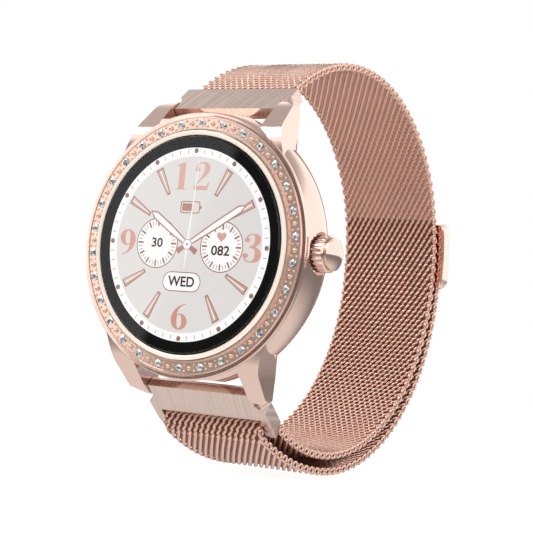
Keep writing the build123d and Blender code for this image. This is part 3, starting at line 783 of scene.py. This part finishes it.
def lettering(name, text, x, z, height, level, material, squeeze=1.12):
    """Plain sans text, centred, as a flat mesh."""
    curve = bpy.data.curves.new(name, "FONT")
    curve.body = text
    curve.align_x, curve.align_y = "CENTER", "CENTER"
    curve.size = height * DIAL_R * MM * 1.38
    curve.offset = curve.size * 0.022
    curve.resolution_u = 4
    holder = bpy.data.objects.new(name, curve)
    bpy.context.scene.collection.objects.link(holder)
    bpy.context.view_layer.update()
    mesh = bpy.data.meshes.new_from_object(holder)
    bpy.data.objects.remove(holder)
    stand = Matrix.Translation((x * DIAL_R * MM, layer_y(level), z * DIAL_R * MM))
    mesh.transform(stand @ Matrix.Rotation(pi / 2, 4, "X") @ Matrix.Diagonal((squeeze, 1, 1, 1)))
    mesh.materials.clear()
    mesh.materials.append(material)
    piece = bpy.data.objects.new(name, mesh)
    bpy.context.scene.collection.objects.link(piece)
    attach(piece, "case")
    return piece


def pill(cx, cz, half_w, half_h):
    flat_part = half_w - half_h
    right, left = cx + flat_part, cx - flat_part
    return arc(right, cz, half_h, -90, 90, 16) + arc(left, cz, half_h, 90, 270, 16)


def rounded(cx, cz, half_w, half_h, corner):
    """Rectangle with round corners."""
    points = []
    for i, (sx, sz) in enumerate(((1, 1), (-1, 1), (-1, -1), (1, -1))):
        points += arc(cx + sx * (half_w - corner), cz + sz * (half_h - corner), corner,
                      90 * i, 90 * i + 90, 6)
    return points


def sub_dial(name, cx, cz, r):
    flat(f"{name}_rim", [arc(cx, cz, r + 0.011, count=64)], 3, TAUPE)
    flat(f"{name}_face", [arc(cx, cz, r, count=64)], 4, WHITE)
    thick = [radial(30 * i, r * 0.70, r * 0.96, 0.010, 0.010, cx, cz) for i in range(12)]
    thin = [radial(30 * i + s, r * 0.76, r * 0.94, 0.006, 0.006, cx, cz)
            for i in range(12) for s in (10, 20)]
    flat(f"{name}_marks", thick, 5, TAUPE)
    flat(f"{name}_fine_marks", thin, 5, SALMON)


def heart(cx, cz, size):
    points = []
    for i in range(40):
        t = 2 * pi * i / 40
        x = 16 * sin(t) ** 3
        z = 13 * cos(t) - 5 * cos(2 * t) - 2 * cos(3 * t) - cos(4 * t)
        points.append((cx + x * size / 32, cz + z * size / 32))
    return points


def hand(name, clock, length, half, tail, level):
    """White hand with a rose outline and a short rose stub behind the hub."""
    a = radians(clock)
    ux, uz = sin(a), cos(a)
    px, pz = uz, -ux

    def shape(grow, reach):
        one_side = ((0.06, 0.55 * half + grow), (0.5 * reach, half + grow),
                    (reach - 0.07, half + grow))
        corners = (*one_side, (reach + grow, 0.0), *((r, -h) for r, h in reversed(one_side)))
        return [(r * ux + h * px, r * uz + h * pz) for r, h in corners]

    flat(f"{name}_edge", [shape(0.014, length)], level, ROSE_LINE)
    flat(f"{name}_face", [shape(-0.002, length - 0.01)], level + 1, WHITE)
    flat(f"{name}_stub", [radial(clock + 180, 0.03, tail, 0.022, 0.034)], level, ROSE_LINE)


def turned(name, profile, material, count=144):
    """Ring from (radius, depth behind the glass front) points in millimetres, open in section."""
    points = []
    for radius, depth in profile:
        points += [(radius * sin(2 * pi * i / count) * MM, GLASS_FRONT_Y + depth * MM,
                    radius * cos(2 * pi * i / count) * MM) for i in range(count)]
    faces = []
    for row in range(len(profile) - 1):
        for i in range(count):
            j = (i + 1) % count
            a, b = row * count, (row + 1) * count
            faces.append((a + i, b + i, b + j, a + j))
    ring = make_piece(name, points, faces, material)
    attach(ring, "case")
    return ring


def build_glass_edge():
    """Black print round the screen and over the glass's edge, and the pale ring that holds it."""
    border = turned("screen_border", ((13.7, PICTURE_DEPTH), (15.26, 0.06), (15.46, 0.22),
                                      (TRIM_INNER, 0.3), (TRIM_INNER, 0.7)), BLACK)
    trim = turned("trim_ring", ((TRIM_INNER, 0.7), (TRIM_INNER, 0.26), (TRIM_INNER + 0.05, 0.2),
                                (TRIM_OUTER - 0.2, 0.12), (TRIM_OUTER - 0.07, 0.14),
                                (TRIM_OUTER, 0.22), (TRIM_OUTER, 1.1), (TRIM_INNER, 1.1),
                                (TRIM_INNER, 0.7)), GOLD_TRIM)
    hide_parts("glass_trim_ring")


def build_dial():
    build_glass_edge()
    flat("chapter_ring", band(0, 0, 1.037, 0.935), 1, WHITE)
    flat("dial_face", [arc(0, 0, 0.94, count=96)], 2, GREIGE)
    ticks = [radial(6 * i, 0.972, 1.016, 0.004, 0.004) for i in range(60) if i % 5]
    flat("minute_ticks", ticks, 2, ROSE_LINE)
    flat("hour_dots", [arc(sin(pi * i / 6), cos(pi * i / 6), 0.027, count=20) for i in range(12)],
         2, TAUPE)
    batons = [i for i in range(12) if i % 3]
    flat("baton_edges", [radial(30 * i, 0.605, 0.915, 0.022, 0.048) for i in batons], 3, TAUPE)
    flat("baton_faces", [radial(30 * i, 0.618, 0.902, 0.014, 0.038) for i in batons], 4, ROSE_LIGHT)
    flat("baton_shades", [radial_side(30 * i, 0.618, 0.902, 0.014, 0.038, -1) for i in batons],
         5, SALMON)
    flat("baton_lights", [radial(30 * i, 0.64, 0.89, 0.003, 0.008) for i in batons], 6, WHITE)
    flat("numeral_12", placed(digit_1(), -0.245, 0.58, 0.30, 1.12)
         + placed(digit_2(), -0.01, 0.58, 0.30, 1.25), 3, SALMON)
    flat("numeral_3", placed(digit_3(), 0.69, -0.155, 0.30, 1.45), 3, SALMON)
    flat("numeral_6", placed(digit_6(), -0.135, -0.905, 0.285, 1.4), 3, SALMON)
    flat("numeral_9", placed(digit_9(), -0.915, -0.155, 0.285, 1.4), 3, SALMON)
    flat("cell_outline", [rounded(-0.01, 0.395, 0.128, 0.066, 0.03)], 3, ROSE_LINE)
    flat("cell_inside", [rounded(-0.01, 0.395, 0.114, 0.054, 0.02)], 4, GREIGE)
    flat("cell_charge", [rounded(-0.04, 0.395, 0.072, 0.040, 0.006)], 5, ROSE_LINE)
    flat("cell_nub", [[(0.114, 0.372), (0.138, 0.384), (0.138, 0.406), (0.114, 0.418)]],
         3, ROSE_LINE)
    sub_dial("left_counter", -0.398, 0.0, 0.26)
    sub_dial("right_counter", 0.438, -0.01, 0.26)
    flat("heart", [heart(0.43, 0.098, 0.12)], 6, SALMON)
    lettering("left_number", "30", -0.398, 0.0, 0.098, 6, BROWN)
    lettering("right_number", "082", 0.430, -0.055, 0.102, 6, BROWN)
    flat("day_edge", [pill(-0.03, -0.40, 0.247, 0.105)], 5, TAUPE)
    flat("day_face", [pill(-0.03, -0.40, 0.237, 0.095)], 6, WHITE)
    lettering("day_name", "WED", -0.03, -0.402, 0.108, 7, BROWN, 1.0)
    hand("hour_hand", 304, 0.605, 0.032, 0.15, 8)
    hand("minute_hand", 58, 0.815, 0.030, 0.15, 8)
    flat("second_hand", [radial(3.5, 0.0, 0.915, 0.010, 0.003),
                         radial(183.5, 0.0, 0.26, 0.012, 0.004)], 10, WHITE)
    flat("hub_edge", [arc(0, 0, 0.058, count=32)], 11, ROSE_LINE)
    flat("hub_face", [arc(0, 0, 0.050, count=32)], 12, WHITE)
    flat("hub_dot", [arc(0, 0, 0.011, count=16)], 13, BROWN)


# ------------------------------------------------------------------ studio
def direction_test(nodes, links, direction, way, edge, soft):
    """1 on the side of the room where way points, 0 on the other, with a soft edge."""
    dot = add_node(nodes, "ShaderNodeVectorMath", operation="DOT_PRODUCT")
    dot.inputs[1].default_value = way
    links.new(direction, dot.inputs[0])
    ranged = add_node(nodes, "ShaderNodeMapRange", interpolation_type="SMOOTHSTEP")
    ranged.inputs["From Min"].default_value = edge - soft
    ranged.inputs["From Max"].default_value = edge + soft
    links.new(dot.outputs["Value"], ranged.inputs["Value"])
    return ranged.outputs["Result"]


def blend_value(nodes, links, amount, low, high):
    mix = add_node(nodes, "ShaderNodeMix", data_type="FLOAT")
    links.new(amount, mix.inputs["Factor"])
    for socket, value in (("A", low), ("B", high)):
        if isinstance(value, float):
            mix.inputs[socket].default_value = value
        else:
            links.new(value, mix.inputs[socket])
    return mix.outputs["Result"]


CARD_NORMAL = (0.745, -0.565, -0.354)
FRONT_MIRRORED = (-0.545, -0.837, 0.057)    # where a flat front reflects the camera's view to
CARD_REACH = 8.0                            # degrees round it


def build_room():
    """Studio light by direction: bright sides and back, a dark zone low in front."""
    world = bpy.data.worlds.new("studio")
    bpy.context.scene.world = world
    world.use_nodes = True
    nodes, links = world.node_tree.nodes, world.node_tree.links
    place = add_node(nodes, "ShaderNodeTexCoord").outputs["Generated"]
    below = direction_test(nodes, links, place, (0, 0, -1), 0.42, 0.3)
    lower = blend_value(nodes, links, below, 0.2, 0.8)
    above = direction_test(nodes, links, place, (0, 0, 1), 0.7, 0.13)
    upper = blend_value(nodes, links, above, 1.28, 0.5)
    level = direction_test(nodes, links, place, (0, 0, 1), 0.0, 0.02)
    room = blend_value(nodes, links, level, lower, upper)
    # in front it is darker up to 20 degrees above the horizon
    ahead = direction_test(nodes, links, place, (-0.3, -0.954, 0), 0.62, 0.1)
    low_down = direction_test(nodes, links, place, (0, 0, -1), -0.36, 0.1)
    deep = direction_test(nodes, links, place, (0, 0, -1), 0.34, 0.22)
    dim = blend_value(nodes, links, deep, 0.3, 0.8)
    low_front = add_node(nodes, "ShaderNodeMath", operation="MULTIPLY")
    links.new(ahead, low_front.inputs[0])
    links.new(low_down, low_front.inputs[1])
    room = blend_value(nodes, links, low_front.outputs["Value"], room, dim)
    # the flat front mirrors the edge between a white panel and a dark card
    card = direction_test(nodes, links, place, CARD_NORMAL, 0.0, 0.004)
    facing = direction_test(nodes, links, place, FRONT_MIRRORED, cos(radians(CARD_REACH)), 0.003)
    front = blend_value(nodes, links, card, 1.4, 0.12)
    reflected = blend_value(nodes, links, facing, room, front)
    # what the camera sees directly is a plain white wall
    path = add_node(nodes, "ShaderNodeLightPath")
    shown = blend_value(nodes, links, path.outputs["Is Camera Ray"], reflected, 1.0)
    links.new(shown, nodes["Background"].inputs["Strength"])
    nodes["Background"].inputs["Color"].default_value = (1, 1, 1, 1)


def build_floor():
    size = 1.2
    low = CAD_BOX[0].z - 0.0006
    corners = [(-size, -size, low), (size, -size, low), (size, size, low), (-size, size, low)]
    material, nodes, links, shader = new_material("pale_floor")
    shader.inputs["Base Color"].default_value = (0.45, 0.45, 0.45, 1)
    shader.inputs["Roughness"].default_value = 0.8
    shader.inputs["Emission Color"].default_value = (1, 1, 1, 1)
    shader.inputs["Emission Strength"].default_value = 0.85
    floor = make_piece("floor", corners, [(0, 1, 2, 3)], material, smooth=False)
    floor.visible_glossy = False


def build_light(name, place, aim, size, power):
    lamp = bpy.data.lights.new(name, "AREA")
    lamp.size = size
    lamp.energy = power
    light = bpy.data.objects.new(name, lamp)
    light.location = place
    light.rotation_mode = "QUATERNION"
    light.rotation_quaternion = (Vector(aim) - Vector(place)).to_track_quat("-Z", "Y")
    bpy.context.scene.collection.objects.link(light)


CAMERA_AT = (0.1400, -0.2046, -0.0158)
CAMERA_AZIMUTH, CAMERA_UP, CAMERA_ROLL = 33.07, 3.29, 5.45
LENS = 114.8


def build_camera():
    data = bpy.data.cameras.new("camera")
    data.lens, data.sensor_width = LENS, 36.0
    data.clip_start, data.clip_end = 0.01, 10.0
    camera = bpy.data.objects.new("camera", data)
    turn = (Matrix.Rotation(radians(CAMERA_AZIMUTH), 4, "Z")
            @ Matrix.Rotation(radians(90 + CAMERA_UP), 4, "X")
            @ Matrix.Rotation(radians(CAMERA_ROLL), 4, "Z"))
    camera.matrix_world = Matrix.Translation(CAMERA_AT) @ turn
    bpy.context.scene.collection.objects.link(camera)
    bpy.context.scene.camera = camera


# ------------------------------------------------------------------ put it together
paint_cad()
build_camera()
build_room()
build_floor()
build_light("key", (-0.35, -0.35, 0.5), (0, 0, 0), 0.3, 1.2)
build_strap()
build_bezel()
build_dial()
bpy.context.scene.view_settings.view_transform = "Standard"
